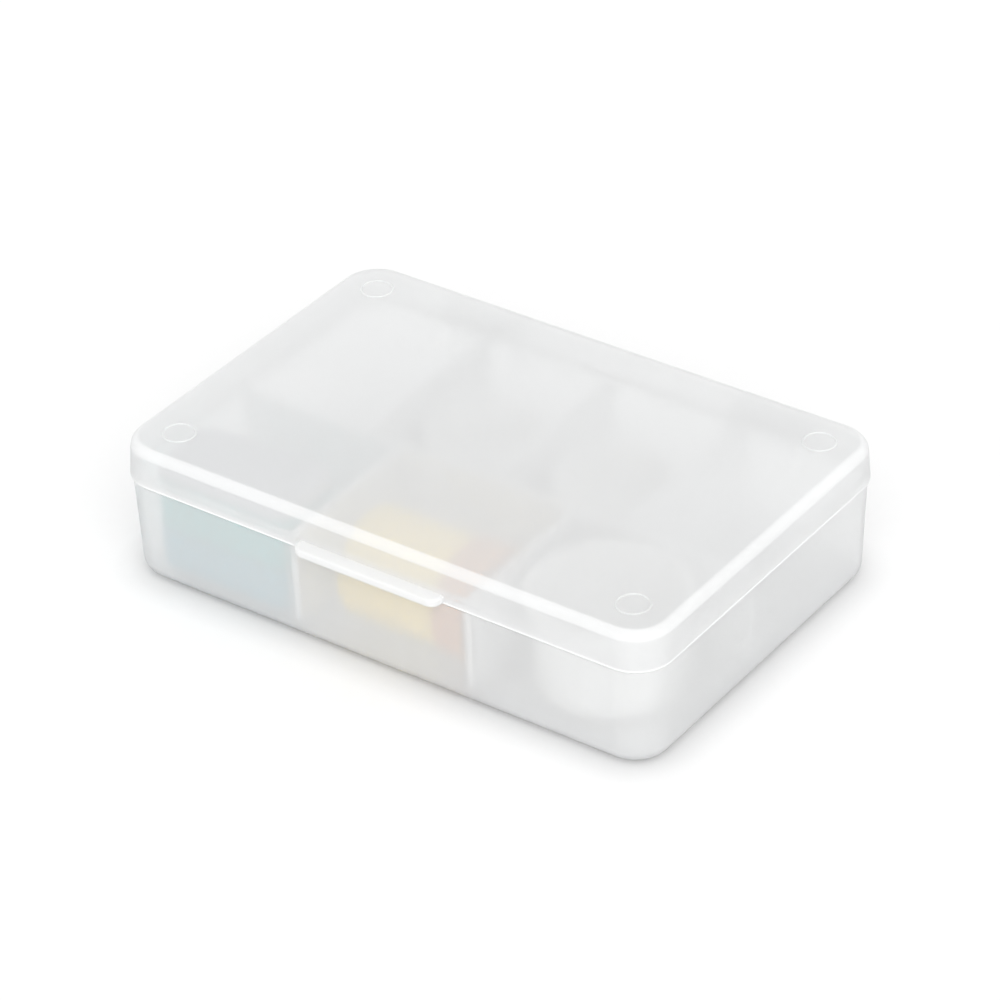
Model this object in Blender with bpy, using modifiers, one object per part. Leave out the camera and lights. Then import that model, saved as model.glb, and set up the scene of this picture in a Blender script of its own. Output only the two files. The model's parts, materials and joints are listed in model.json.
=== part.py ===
"""Contact lens case: a hinged frosted box with seven compartments, and the things kept in it.

Metres, +Z up. The origin is the middle of the tray's underside, and the front faces -Y.
The lid turns about the bars at the back of the tray, along X.
"""

import math

import bmesh
import bpy
from mathutils import Matrix, Vector

# Outside of the case.
LID_WIDTH = 0.1000
LID_DEPTH = 0.06705
CASE_HEIGHT = 0.02457
JOINT_HEIGHT = 0.01783
LID_CORNER_RADIUS = 0.0063
LID_EDGE_RADIUS = 0.0015
LID_DRAFT = math.radians(3.3)
LID_OVERHANG = 0.00039
TRAY_CORNER_RADIUS = 0.0061
TRAY_EDGE_RADIUS = 0.0026
TRAY_DRAFT = math.radians(1.6)

# Walls of the two mouldings.
LID_TOP_WALL = 0.0012
LID_INNER_RADIUS = 0.0007
SKIRT_WALL = 0.0009
TRAY_FLOOR = 0.0014
TRAY_INNER_RADIUS = 0.0011
LIP_WALL = 0.0007
LIP_OVERLAP = 0.0011

# Clearances.
SEAT_GAP = 0.0003
FIT_GAP = 0.00035
SLOT_GAP = 0.0003

# Thumb tab and the four moulding rings on the lid.
TAB_LENGTH = 0.0270
TAB_REACH = 0.0024
TAB_THICKNESS = 0.0014
TAB_CORNER_RADIUS = 0.0018
TAB_EDGE_RADIUS = 0.0004
TAB_LIFT = 0.0002
RING_RADIUS = 0.0026
RING_WIRE = 0.00022
RING_INSET = 0.0072

# Hinge: two hooks of the lid, each round a bar between two lugs of the tray.
BAR_RADIUS = 0.0012
HINGE_GAP = 0.0003
HOOK_WALL = 0.0011
HOOK_WIDTH = 0.0090
HOOK_WRAP = math.radians(240.0)
LUG_WIDTH = 0.0022
HINGE_SPACING = 0.0560

# Dividers and their guide ribs.
DIVIDER_THICKNESS = 0.0012
DIVIDER_DROP = 0.0006
LONG_DIVIDER_Y = -0.0024
FRONT_PITCH = 0.0328
BACK_PITCH = 0.0245
RIB_WIDTH = 0.0006
RIB_DEPTH = 0.0008

# Pod with a push-on cap, in the front left compartment.
POD_DEPTH = 0.0145
POD_SIDE_GAP = 0.0028
POD_HEADROOM = 0.0024
POD_BODY_HEIGHT = 0.0080
POD_CORNER_RADIUS = 0.0035
POD_EDGE_RADIUS = 0.0016
POD_WALL = 0.0012
POD_NECK_HEIGHT = 0.0040

# Vial lying along X in the front middle compartment.
VIAL_CAP_RADIUS = 0.0093
VIAL_CAP_LENGTH = 0.0052
VIAL_CAP_WALL = 0.0012
VIAL_BODY_RADIUS = 0.0089
VIAL_BODY_LENGTH = 0.0186
VIAL_NECK_RADIUS = 0.0066
VIAL_EDGE_RADIUS = 0.0015

# Open cups.
RINSE_CUP_DROP = 0.0003
RINSE_CUP_GAP = 0.0010
LENS_CUP_HEIGHT = 0.0115
LENS_CUP_GAP = 0.0011
CUP_WALL = 0.0011
CUP_FLOOR = 0.0013
CUP_DRAFT = math.radians(5.0)
CUP_EDGE_RADIUS = 0.0012
CUP_RIM = 0.0006

# Smoothness of round stretches.
CORNER_SEGMENTS = 7
EDGE_SEGMENTS = 4
TURN_STEPS = 36
ARC_STEP = math.radians(15.0)

# How far a joined piece is sunk into its carrier, and a cutter past what it cuts.
SINK = 0.0004
OVERCUT = 0.0020

# Worked out from the driving dimensions.
SHOULDER_Z = JOINT_HEIGHT - SEAT_GAP
LIP_TOP = JOINT_HEIGHT + LIP_OVERLAP
LIP_INSET = SKIRT_WALL + FIT_GAP - LID_OVERHANG
TRAY_WALL = LIP_INSET + LIP_WALL
LID_UNDERSIDE = CASE_HEIGHT - LID_TOP_WALL
DIVIDER_TOP = LIP_TOP - DIVIDER_DROP
REST_Z = TRAY_FLOOR + SEAT_GAP
HALF_DIVIDER = DIVIDER_THICKNESS / 2
RIB_REACH = SLOT_GAP + RIB_WIDTH
HOOK_BORE = BAR_RADIUS + HINGE_GAP
KNUCKLE_RADIUS = HOOK_BORE + HOOK_WALL
HINGE_Y = LID_DEPTH / 2 + HINGE_GAP + KNUCKLE_RADIUS
HINGE_Z = SHOULDER_Z
FRONT_DIVIDERS = {"left": -FRONT_PITCH / 2, "right": FRONT_PITCH / 2}
BACK_DIVIDERS = {"left": -BACK_PITCH, "middle": 0.0, "right": BACK_PITCH}

# Turns a flat outline drawn in XY up into the XZ plane, or into the YZ plane.
UPRIGHT_XZ = Matrix.Rotation(math.pi / 2, 4, "X")
UPRIGHT_YZ = Matrix.Rotation(math.pi / 2, 4, "Z") @ UPRIGHT_XZ
ALONG_X = Matrix.Rotation(math.pi / 2, 4, "Y")


def tray_half(z, inset=0.0):
    """Half width and half depth of the drafted tray at a height, inset from its outside."""
    narrowing = math.tan(TRAY_DRAFT) * (SHOULDER_Z - z) + LID_OVERHANG + inset
    return Vector((LID_WIDTH / 2 - narrowing, LID_DEPTH / 2 - narrowing))


def lid_half(z, inset=0.0):
    """Half width and half depth of the drafted lid at a height, inset from its outside."""
    narrowing = math.tan(LID_DRAFT) * (z - JOINT_HEIGHT) + inset
    return Vector((LID_WIDTH / 2 - narrowing, LID_DEPTH / 2 - narrowing))


def compartments():
    """Each used compartment's bounds on the tray floor: x from, x to, y from, y to."""
    wall = tray_half(TRAY_FLOOR, TRAY_WALL)
    front = (-wall.y, LONG_DIVIDER_Y - HALF_DIVIDER)
    back = (LONG_DIVIDER_Y + HALF_DIVIDER, wall.y)
    inner_front = FRONT_PITCH / 2 - HALF_DIVIDER
    outer_front = FRONT_PITCH / 2 + HALF_DIVIDER
    return {
        "front_left": (-wall.x, -outer_front, *front),
        "front_middle": (-inner_front, inner_front, *front),
        "front_right": (outer_front, wall.x, *front),
        "back_left_middle": (HALF_DIVIDER - BACK_PITCH, -HALF_DIVIDER, *back),
        "back_right_middle": (HALF_DIVIDER, BACK_PITCH - HALF_DIVIDER, *back),
    }


def new_collection(name):
    collection = bpy.data.collections.new(name)
    bpy.context.scene.collection.children.link(collection)
    return collection


def object_from(bm, name, collection):
    """An object of this mesh, in this collection."""
    mesh = bpy.data.meshes.new(name)
    bm.to_mesh(mesh)
    bm.free()
    obj = bpy.data.objects.new(name, mesh)
    collection.objects.link(obj)
    return obj


def as_cutter(obj):
    """Marks an object that only shapes others."""
    obj.hide_render = True
    obj.display_type = "WIRE"
    return obj


def boolean(obj, tool, operation):
    modifier = obj.modifiers.new(f"{operation} {tool.name}", "BOOLEAN")
    modifier.operation = operation
    modifier.object = tool
    modifier.solver = "EXACT"


def finish(obj, colour, roughness):
    """Gives a piece its own plastic and smooth round faces."""
    material = bpy.data.materials.new(f"{obj.name} plastic")
    material.use_nodes = True
    shader = material.node_tree.nodes["Principled BSDF"]
    shader.inputs["Base Color"].default_value = (*colour, 1.0)
    shader.inputs["Roughness"].default_value = roughness
    shader.inputs["Metallic"].default_value = 0.0
    obj.data.materials.append(material)
    obj.data.shade_smooth()
    obj.data.set_sharp_from_angle(angle=math.radians(40.0))
    return obj


def round_edges(bm, radius, segments, wanted):
    """Rounds the edges between two points that the test wants."""
    if radius <= 0.0:
        return
    edges = [edge for edge in bm.edges if wanted(edge.verts[0].co, edge.verts[1].co)]
    bmesh.ops.bevel(
        bm, geom=edges, offset=radius, segments=segments, profile=0.5, affect="EDGES"
    )


def drafted_block(name, collection, half, low, high, corner, low_edge=0.0, high_edge=0.0):
    """A block whose plan follows half(z), with round upright corners and round rims."""

    def level(z):
        return lambda a, b: abs(a.z - z) < 1e-6 and abs(b.z - z) < 1e-6

    bm = bmesh.new()
    bmesh.ops.create_cube(bm, size=2.0)
    for vert in bm.verts:
        z = high if vert.co.z > 0.0 else low
        size = half(z)
        vert.co = Vector((vert.co.x * size.x, vert.co.y * size.y, z))
    round_edges(bm, corner, CORNER_SEGMENTS, lambda a, b: abs(a.z - b.z) > 1e-6)
    round_edges(bm, low_edge, EDGE_SEGMENTS, level(low))
    round_edges(bm, high_edge, EDGE_SEGMENTS, level(high))
    return object_from(bm, name, collection)


def flat_plate(name, collection, outline, thickness, turn, place):
    """A flat outline with a thickness, turned and put in place, as a welded mesh."""
    curve = bpy.data.curves.new(name, "CURVE")
    curve.dimensions = "2D"
    curve.fill_mode = "BOTH"
    curve.extrude = thickness / 2
    spline = curve.splines.new("POLY")
    spline.points.add(len(outline) - 1)
    for point, (u, v) in zip(spline.points, outline):
        point.co = (u, v, 0.0, 1.0)
    spline.use_cyclic_u = True
    drawn = bpy.data.objects.new(name, curve)
    collection.objects.link(drawn)
    drawn.matrix_world = Matrix.Translation(place) @ turn
    bpy.context.view_layer.update()
    depsgraph = bpy.context.evaluated_depsgraph_get()
    mesh = bpy.data.meshes.new_from_object(drawn.evaluated_get(depsgraph))
    matrix = drawn.matrix_world.copy()
    bpy.data.objects.remove(drawn, do_unlink=True)
    bm = bmesh.new()
    bm.from_mesh(mesh)
    bmesh.ops.remove_doubles(bm, verts=bm.verts, dist=1e-6)
    bmesh.ops.recalc_face_normals(bm, faces=bm.faces)
    plate = object_from(bm, name, collection)
    plate.matrix_world = matrix
    bpy.data.meshes.remove(mesh)
    return plate


def boxes(name, collection, corner_rules):
    """One object of separate boxes, each given by a rule that places the corners of a cube."""
    bm = bmesh.new()
    for place_corner in corner_rules:
        made = bmesh.ops.create_cube(bm, size=2.0)
        for vert in made["verts"]:
            vert.co = place_corner(vert.co)
    return object_from(bm, name, collection)


def turned(name, collection, profile):
    """A shape turned about Z from radius and height pairs, which run inside up, outside down."""
    bm = bmesh.new()
    points = [bm.verts.new((radius, 0.0, height)) for radius, height in profile]
    for first, second in zip(points, points[1:]):
        bm.edges.new((first, second))
    obj = object_from(bm, name, collection)
    screw = obj.modifiers.new("turn", "SCREW")
    screw.steps = TURN_STEPS
    screw.render_steps = TURN_STEPS
    screw.use_merge_vertices = True
    screw.merge_threshold = 1e-6
    screw.use_smooth_shade = True
    return obj


def arc(centre, radius, start, stop):
    """Points along an arc, both ends included."""
    count = max(2, math.ceil(abs(stop - start) / ARC_STEP))
    angles = [start + (stop - start) * step / count for step in range(count + 1)]
    return [
        (centre[0] + radius * math.cos(angle), centre[1] + radius * math.sin(angle))
        for angle in angles
    ]


def wall_rib(across_x, side, along):
    """A guide rib on a drafted tray wall, as a corner rule for a cube."""

    def corner(co):
        z = DIVIDER_TOP if co.z > 0.0 else TRAY_FLOOR - SINK
        wall = tray_half(z, TRAY_WALL)
        reach = wall.x if across_x else wall.y
        out = side * (reach + SINK if co.x > 0.0 else reach - RIB_DEPTH)
        span = along + co.y * side * RIB_WIDTH / 2
        return Vector((out, span, z)) if across_x else Vector((-span, out, z))

    return corner


def plate_rib(side, along):
    """A guide rib on a face of the long divider, as a corner rule for a cube."""
    face = LONG_DIVIDER_Y + side * HALF_DIVIDER

    def corner(co):
        z = DIVIDER_TOP - SINK if co.z > 0.0 else REST_Z + SINK
        out = face + side * (RIB_DEPTH if co.y * side > 0.0 else -SINK)
        return Vector((along + co.x * RIB_WIDTH / 2, out, z))

    return corner


def rib_pair(position):
    """Centres of the two ribs on either side of a divider."""
    offset = HALF_DIVIDER + SLOT_GAP + RIB_WIDTH / 2
    return (position - offset, position + offset)


def tray_ribs(collection):
    """All guide ribs of the tray walls, as one tool."""
    rules = []
    for side in (-1, 1):
        rules += [wall_rib(True, side, y) for y in rib_pair(LONG_DIVIDER_Y)]
    for position in FRONT_DIVIDERS.values():
        rules += [wall_rib(False, -1, -x) for x in rib_pair(position)]
    for position in BACK_DIVIDERS.values():
        rules += [wall_rib(False, 1, -x) for x in rib_pair(position)]
    return as_cutter(boxes("tray ribs", collection, rules))


def lug_outline():
    """Side view of a hinge lug about the hinge axis: round end, flat top, gusset down the wall."""
    reach = HINGE_Y - tray_half(HINGE_Z).y + SINK + RIB_DEPTH
    round_end = arc((0.0, 0.0), KNUCKLE_RADIUS, math.pi, -math.pi / 4)
    foot = -reach - KNUCKLE_RADIUS * math.sqrt(2.0)
    return [(-reach, 0.0), *round_end, (-reach, foot)]


def hook_outline():
    """Side view of a hinge hook about the hinge axis: an arm from the skirt that curls round."""
    reach = HINGE_Y - lid_half(HINGE_Z + KNUCKLE_RADIUS).y + SINK
    top = math.pi / 2
    outer = arc((0.0, 0.0), KNUCKLE_RADIUS, top, top - HOOK_WRAP)
    inner = arc((0.0, 0.0), HOOK_BORE, top - HOOK_WRAP, top)
    return [(-reach, KNUCKLE_RADIUS), *outer, *inner, (-reach, HOOK_BORE)]


def tray_hinge(collection):
    """Lugs and bars at the back of the tray, as two tools."""
    lugs = []
    bars = bmesh.new()
    lug_offset = HOOK_WIDTH / 2 + HINGE_GAP + LUG_WIDTH / 2
    bar_length = 2 * lug_offset
    for side in (-1, 1):
        station = side * HINGE_SPACING / 2
        for end in (-1, 1):
            place = Vector((station + end * lug_offset, HINGE_Y, HINGE_Z))
            lugs.append(
                flat_plate("hinge lug", collection, lug_outline(), LUG_WIDTH, UPRIGHT_YZ, place)
            )
        middle = Matrix.Translation(Vector((station, HINGE_Y, HINGE_Z)))
        bmesh.ops.create_cone(
            bars,
            cap_ends=True,
            segments=24,
            radius1=BAR_RADIUS,
            radius2=BAR_RADIUS,
            depth=bar_length,
            matrix=middle @ ALONG_X,
        )
    return [as_cutter(tool) for tool in (*lugs, object_from(bars, "hinge bars", collection))]


def make_tray(parts, cutters):
    tray = drafted_block(
        "tray", parts, tray_half, 0.0, LIP_TOP, TRAY_CORNER_RADIUS, low_edge=TRAY_EDGE_RADIUS
    )
    cavity = drafted_block(
        "tray cavity",
        cutters,
        lambda z: tray_half(z, TRAY_WALL),
        TRAY_FLOOR,
        LIP_TOP + OVERCUT,
        TRAY_CORNER_RADIUS - TRAY_WALL,
        low_edge=TRAY_INNER_RADIUS,
    )
    rebate = drafted_block(
        "lip rebate",
        cutters,
        lambda z: tray_half(z, -OVERCUT),
        SHOULDER_Z,
        LIP_TOP + OVERCUT,
        TRAY_CORNER_RADIUS + OVERCUT,
    )
    lip_core = drafted_block(
        "lip core",
        cutters,
        lambda z: tray_half(z, LIP_INSET),
        SHOULDER_Z - OVERCUT,
        LIP_TOP + 2 * OVERCUT,
        TRAY_CORNER_RADIUS - LIP_INSET,
    )
    boolean(rebate, lip_core, "DIFFERENCE")
    for tool in (cavity, rebate, lip_core):
        as_cutter(tool)
    boolean(tray, cavity, "DIFFERENCE")
    boolean(tray, rebate, "DIFFERENCE")
    boolean(tray, tray_ribs(cutters), "UNION")
    for tool in tray_hinge(cutters):
        boolean(tray, tool, "UNION")
    return finish(tray, (0.90, 0.91, 0.92), 0.45)


def thumb_tab(collection):
    """The tab at the front of the skirt, with round corners and softened edges."""
    half = TAB_LENGTH / 2
    inner = TAB_CORNER_RADIUS
    front = -TAB_REACH
    quarter = math.pi / 2
    outline = [
        (half, SKIRT_WALL / 2),
        (-half, SKIRT_WALL / 2),
        *arc((inner - half, front + inner), inner, math.pi, math.pi + quarter),
        *arc((half - inner, front + inner), inner, -quarter, 0.0),
    ]
    z = JOINT_HEIGHT + TAB_LIFT + TAB_THICKNESS / 2
    place = Vector((0.0, -lid_half(z).y, z))
    tab = flat_plate("thumb tab", collection, outline, TAB_THICKNESS, Matrix(), place)
    bevel = tab.modifiers.new("soft edges", "BEVEL")
    bevel.width = TAB_EDGE_RADIUS
    bevel.segments = 2
    bevel.limit_method = "ANGLE"
    bevel.angle_limit = math.radians(60.0)
    return as_cutter(tab)


def moulding_rings(collection):
    """Four thin round ridges near the corners of the lid's top."""
    top = lid_half(CASE_HEIGHT, RING_INSET)
    rings = []
    for x in (-top.x, top.x):
        for y in (-top.y, top.y):
            bpy.ops.mesh.primitive_torus_add(
                location=(x, y, CASE_HEIGHT),
                major_radius=RING_RADIUS,
                minor_radius=RING_WIRE,
                major_segments=28,
                minor_segments=6,
            )
            ring = bpy.context.active_object
            ring.name = "moulding ring"
            for owner in list(ring.users_collection):
                owner.objects.unlink(ring)
            collection.objects.link(ring)
            rings.append(as_cutter(ring))
    return rings


def make_lid(parts, cutters):
    lid = drafted_block(
        "lid", parts, lid_half, JOINT_HEIGHT, CASE_HEIGHT, LID_CORNER_RADIUS, high_edge=LID_EDGE_RADIUS
    )
    cavity = drafted_block(
        "lid cavity",
        cutters,
        lambda z: lid_half(z, SKIRT_WALL),
        JOINT_HEIGHT - OVERCUT,
        LID_UNDERSIDE,
        LID_CORNER_RADIUS - SKIRT_WALL,
        high_edge=LID_INNER_RADIUS,
    )
    boolean(lid, as_cutter(cavity), "DIFFERENCE")
    boolean(lid, thumb_tab(cutters), "UNION")
    for side in (-1, 1):
        place = Vector((side * HINGE_SPACING / 2, HINGE_Y, HINGE_Z))
        hook = flat_plate("hinge hook", cutters, hook_outline(), HOOK_WIDTH, UPRIGHT_YZ, place)
        boolean(lid, as_cutter(hook), "UNION")
    for ring in moulding_rings(cutters):
        boolean(lid, ring, "UNION")
    hinge = bpy.data.objects.new("lid hinge axis", None)
    hinge.location = (0.0, HINGE_Y, HINGE_Z)
    parts.objects.link(hinge)
    lid.parent = hinge
    lid.matrix_parent_inverse = Matrix.Translation(-hinge.location)
    return finish(lid, (0.92, 0.93, 0.94), 0.40)


def wall_end(half, z):
    """Where a divider ends short of the tray wall at a height, by width or by depth."""
    size = tray_half(z, TRAY_WALL)
    return (size.x if half == "x" else size.y) - SEAT_GAP


def make_long_divider(parts, cutters):
    low = REST_Z
    heel = low + TRAY_INNER_RADIUS
    foot = wall_end("x", low) - TRAY_INNER_RADIUS
    right = [(foot, low), (wall_end("x", heel), heel), (wall_end("x", DIVIDER_TOP), DIVIDER_TOP)]
    left = [(-u, v) for u, v in reversed(right)]
    place = Vector((0.0, LONG_DIVIDER_Y, 0.0))
    divider = flat_plate(
        "long_divider", parts, right + left, DIVIDER_THICKNESS, UPRIGHT_XZ, place
    )
    rules = []
    for side, positions in ((-1, FRONT_DIVIDERS), (1, BACK_DIVIDERS)):
        for position in positions.values():
            rules += [plate_rib(side, x) for x in rib_pair(position)]
    boolean(divider, as_cutter(boxes("divider ribs", cutters, rules)), "UNION")
    return finish(divider, (0.90, 0.91, 0.92), 0.45)


def make_cross_divider(name, parts, x, side):
    """A divider from the front or the back wall to the long divider."""
    low = REST_Z
    heel = low + TRAY_INNER_RADIUS
    inner = LONG_DIVIDER_Y + side * (HALF_DIVIDER + SEAT_GAP)
    outline = [
        (inner, low),
        (side * (wall_end("y", low) - TRAY_INNER_RADIUS), low),
        (side * wall_end("y", heel), heel),
        (side * wall_end("y", DIVIDER_TOP), DIVIDER_TOP),
        (inner, DIVIDER_TOP),
    ]
    place = Vector((x, 0.0, 0.0))
    divider = flat_plate(name, parts, outline, DIVIDER_THICKNESS, UPRIGHT_YZ, place)
    return finish(divider, (0.90, 0.91, 0.92), 0.45)


def make_pod(parts, cutters):
    """A blue-green pod: a body with a neck, and a cap pushed over the neck."""
    x_from, x_to, y_from, _ = compartments()["front_left"]
    left = x_from + POD_SIDE_GAP
    right = x_to - RIB_REACH - SEAT_GAP
    half = Vector(((right - left) / 2, POD_DEPTH / 2))
    centre = Vector(((left + right) / 2, y_from + SEAT_GAP + POD_DEPTH / 2, 0.0))
    split = REST_Z + POD_BODY_HEIGHT
    neck_top = split + POD_NECK_HEIGHT
    top = LID_UNDERSIDE - POD_HEADROOM
    neck_inset = POD_WALL + SEAT_GAP

    def inset(amount):
        size = half - Vector((amount, amount))
        return lambda z: size

    body = drafted_block(
        "lens_pod", parts, inset(0.0), REST_Z, split, POD_CORNER_RADIUS, low_edge=POD_EDGE_RADIUS
    )
    neck_corner = POD_CORNER_RADIUS - neck_inset
    neck = drafted_block("pod neck", cutters, inset(neck_inset), split - SINK, neck_top, neck_corner)
    cap = drafted_block(
        "lens_pod_cap",
        parts,
        inset(0.0),
        split + SEAT_GAP,
        top,
        POD_CORNER_RADIUS,
        high_edge=POD_EDGE_RADIUS,
    )
    socket = drafted_block(
        "pod socket",
        cutters,
        inset(POD_WALL),
        split - OVERCUT,
        neck_top + SEAT_GAP,
        POD_CORNER_RADIUS - POD_WALL,
    )
    boolean(body, as_cutter(neck), "UNION")
    boolean(cap, as_cutter(socket), "DIFFERENCE")
    for obj in (body, neck, cap, socket):
        obj.location = centre
    finish(body, (0.05, 0.23, 0.33), 0.40)
    finish(cap, (0.0, 0.30, 0.30), 0.40)


def rounded(points, radius):
    """A profile with its inner points turned into short arcs of a radius."""
    result = [points[0]]
    for before, point, after in zip(points, points[1:], points[2:]):
        corner = Vector(point)
        back = (Vector(before) - corner).normalized()
        forth = (Vector(after) - corner).normalized()
        start = corner + back * radius
        stop = corner + forth * radius
        for step in range(4):
            t = step / 3
            a = start.lerp(corner, t)
            b = corner.lerp(stop, t)
            result.append(tuple(a.lerp(b, t)))
    return [*result, points[-1]]


def make_vial(parts):
    """An amber vial lying along X with its cap towards the right divider."""
    _, x_to, _, _ = compartments()["front_middle"]
    axis_z = REST_Z + VIAL_CAP_RADIUS
    wall_y = -tray_half(axis_z, TRAY_WALL).y
    axis_y = wall_y + RIB_DEPTH / 2 + VIAL_CAP_RADIUS
    cap_end = x_to - RIB_REACH - SEAT_GAP
    cap_start = cap_end - VIAL_CAP_LENGTH
    shoulder = cap_start - SEAT_GAP
    base = shoulder - VIAL_BODY_LENGTH
    neck_end = cap_end - VIAL_CAP_WALL - SEAT_GAP
    body_side = [(VIAL_BODY_RADIUS, shoulder), (VIAL_BODY_RADIUS, base)]
    body = turned(
        "drops_vial",
        parts,
        [
            (0.0, neck_end),
            (VIAL_NECK_RADIUS, neck_end),
            *rounded([(VIAL_NECK_RADIUS, shoulder), *body_side, (0.0, base)], VIAL_EDGE_RADIUS),
        ],
    )
    socket = VIAL_NECK_RADIUS + SEAT_GAP
    socket_end = cap_end - VIAL_CAP_WALL
    cap_side = [(VIAL_CAP_RADIUS, cap_end), (VIAL_CAP_RADIUS, cap_start)]
    cap = turned(
        "drops_vial_cap",
        parts,
        [
            *rounded([(0.0, cap_end), *cap_side, (socket, cap_start)], VIAL_EDGE_RADIUS / 2),
            (socket, socket_end),
            (0.0, socket_end),
        ],
    )
    for obj in (body, cap):
        obj.matrix_world = Matrix.Translation(Vector((0.0, axis_y, axis_z))) @ ALONG_X
    finish(body, (0.85, 0.45, 0.02), 0.35)
    finish(cap, (0.50, 0.16, 0.01), 0.40)


def make_cup(name, parts, place, radius, height):
    """An open white cup: drafted wall, round foot, and a rim that stands out a little."""
    slope = math.tan(CUP_DRAFT)
    foot = radius - CUP_RIM - slope * height
    inner_top = radius - CUP_RIM - CUP_WALL
    inner_foot = inner_top - slope * (height - CUP_FLOOR)
    inside = [(0.0, CUP_FLOOR), (inner_foot, CUP_FLOOR), (inner_top, height)]
    rim_foot = height - CUP_WALL
    outside = [(radius, height), (radius, rim_foot), (radius - CUP_RIM - slope * CUP_WALL, rim_foot)]
    wall = [outside[-1], (foot, 0.0), (0.0, 0.0)]
    profile = [
        *rounded(inside, CUP_EDGE_RADIUS),
        *outside[:-1],
        *rounded(wall, CUP_EDGE_RADIUS),
    ]
    cup = turned(name, parts, profile)
    cup.location = place
    return finish(cup, (0.90, 0.90, 0.88), 0.35)


def middle_of(bounds):
    """The middle of a compartment at the height where loose things stand."""
    x_from, x_to, y_from, y_to = bounds
    return Vector(((x_from + x_to) / 2, (y_from + y_to) / 2, REST_Z))


def make_cups(parts):
    bounds = compartments()
    x_from, x_to, y_from, y_to = bounds["front_right"]
    rinse_radius = min(x_to - x_from, y_to - y_from) / 2 - RINSE_CUP_GAP
    rinse_height = DIVIDER_TOP - RINSE_CUP_DROP - REST_Z
    make_cup("rinse_cup", parts, middle_of(bounds["front_right"]), rinse_radius, rinse_height)
    for side in ("left", "right"):
        room = bounds[f"back_{side}_middle"]
        radius = min(room[1] - room[0], room[3] - room[2]) / 2 - LENS_CUP_GAP
        make_cup(f"lens_cup_{side}", parts, middle_of(room), radius, LENS_CUP_HEIGHT)


def main():
    for obj in list(bpy.data.objects):
        bpy.data.objects.remove(obj, do_unlink=True)
    parts = new_collection("contact lens case")
    cutters = new_collection("cutters")
    make_tray(parts, cutters)
    make_lid(parts, cutters)
    make_long_divider(parts, cutters)
    for side, x in FRONT_DIVIDERS.items():
        make_cross_divider(f"front_divider_{side}", parts, x, -1)
    for side, x in BACK_DIVIDERS.items():
        make_cross_divider(f"back_divider_{side}", parts, x, 1)
    make_pod(parts, cutters)
    make_vial(parts)
    make_cups(parts)


main()
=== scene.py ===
"""Looks of a hinged, frosted contact lens case with seven compartments and the things kept in it.

The file is laid out as an add-on and run as a script: main() registers it, makes every piece
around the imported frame, and sets the stage. Sizes are in metres, +Z is up, the front faces -Y.
"""

import json
import math

import bmesh
import bpy
from bpy.props import FloatProperty, FloatVectorProperty, IntProperty, PointerProperty
from mathutils import Matrix, Vector

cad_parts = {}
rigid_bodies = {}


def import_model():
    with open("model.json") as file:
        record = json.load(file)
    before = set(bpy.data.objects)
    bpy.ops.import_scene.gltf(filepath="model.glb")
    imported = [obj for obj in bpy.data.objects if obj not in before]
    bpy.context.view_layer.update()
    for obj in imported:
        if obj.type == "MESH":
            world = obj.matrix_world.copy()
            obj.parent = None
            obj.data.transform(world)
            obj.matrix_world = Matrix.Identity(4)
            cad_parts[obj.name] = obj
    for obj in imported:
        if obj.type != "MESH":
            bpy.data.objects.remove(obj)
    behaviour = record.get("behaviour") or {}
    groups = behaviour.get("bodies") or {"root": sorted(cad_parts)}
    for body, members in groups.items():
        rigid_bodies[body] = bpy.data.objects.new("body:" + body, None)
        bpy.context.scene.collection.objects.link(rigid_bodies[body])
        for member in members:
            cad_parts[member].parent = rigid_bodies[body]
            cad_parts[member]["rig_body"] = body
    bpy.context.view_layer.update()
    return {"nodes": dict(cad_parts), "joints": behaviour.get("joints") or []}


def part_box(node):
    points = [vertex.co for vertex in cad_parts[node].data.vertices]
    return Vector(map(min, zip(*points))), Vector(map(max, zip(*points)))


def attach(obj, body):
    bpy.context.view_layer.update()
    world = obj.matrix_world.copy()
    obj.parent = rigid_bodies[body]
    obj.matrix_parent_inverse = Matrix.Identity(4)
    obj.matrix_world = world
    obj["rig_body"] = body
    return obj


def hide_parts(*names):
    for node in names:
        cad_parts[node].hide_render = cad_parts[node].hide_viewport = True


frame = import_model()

bl_info = {
    "name": "Frosted lens case",
    "version": (1, 0, 0),
    "blender": (4, 5, 0),
    "location": "3D View > Sidebar > Lens case",
    "description": "Models a frosted compartment case for contact lens things",
    "category": "Object",
}

HINGE = Vector(frame["joints"][0]["pos_m"])
LID_LOW, LID_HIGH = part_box("lid")

# The dividers of the front row and of the back row, by the side of the long divider.
ROWS = {
    -1: ("front_divider_left", "front_divider_right"),
    1: ("back_divider_left", "back_divider_middle", "back_divider_right"),
}

# Points closer than this are one point.
TINY = 2e-6
# How far a joined piece reaches into its neighbour.
SINK = 0.0004
# Turns an upright drum to lie along X.
LYING = (0.0, math.pi / 2, 0.0)
# Least part of a normal along an axis: of a flat face square to it, and of one that mostly faces it.
SQUARE_ON = 0.99
MOSTLY = 0.5
# Upward part of the normals on the rounding of the lid's top, between the skirt and the flat.
ROUNDING_NORMALS = (0.05, 0.98)
# Sharper edges than this stay sharp in the shading.
SMOOTH_ANGLE = math.radians(32.0)
# Radii of small roundings, as shares of the walls that carry them.
LID_INSIDE_ROUNDING = 0.8
TAB_ROUNDING = 0.3
CUP_RIM_ROUNDING = 0.4
# A divider's end farther out than this share of the tray's inner half stands at the wall.
AT_WALL = 0.9
# Side faces of the vial's cap for each flute, a flute's length as a share of its face, and how far
# inside the drum's radius a point still counts as on its outside.
FACES_PER_FLUTE = 3
FLUTE_LENGTH = 0.92
ROUND_SLACK = 0.0002
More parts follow.
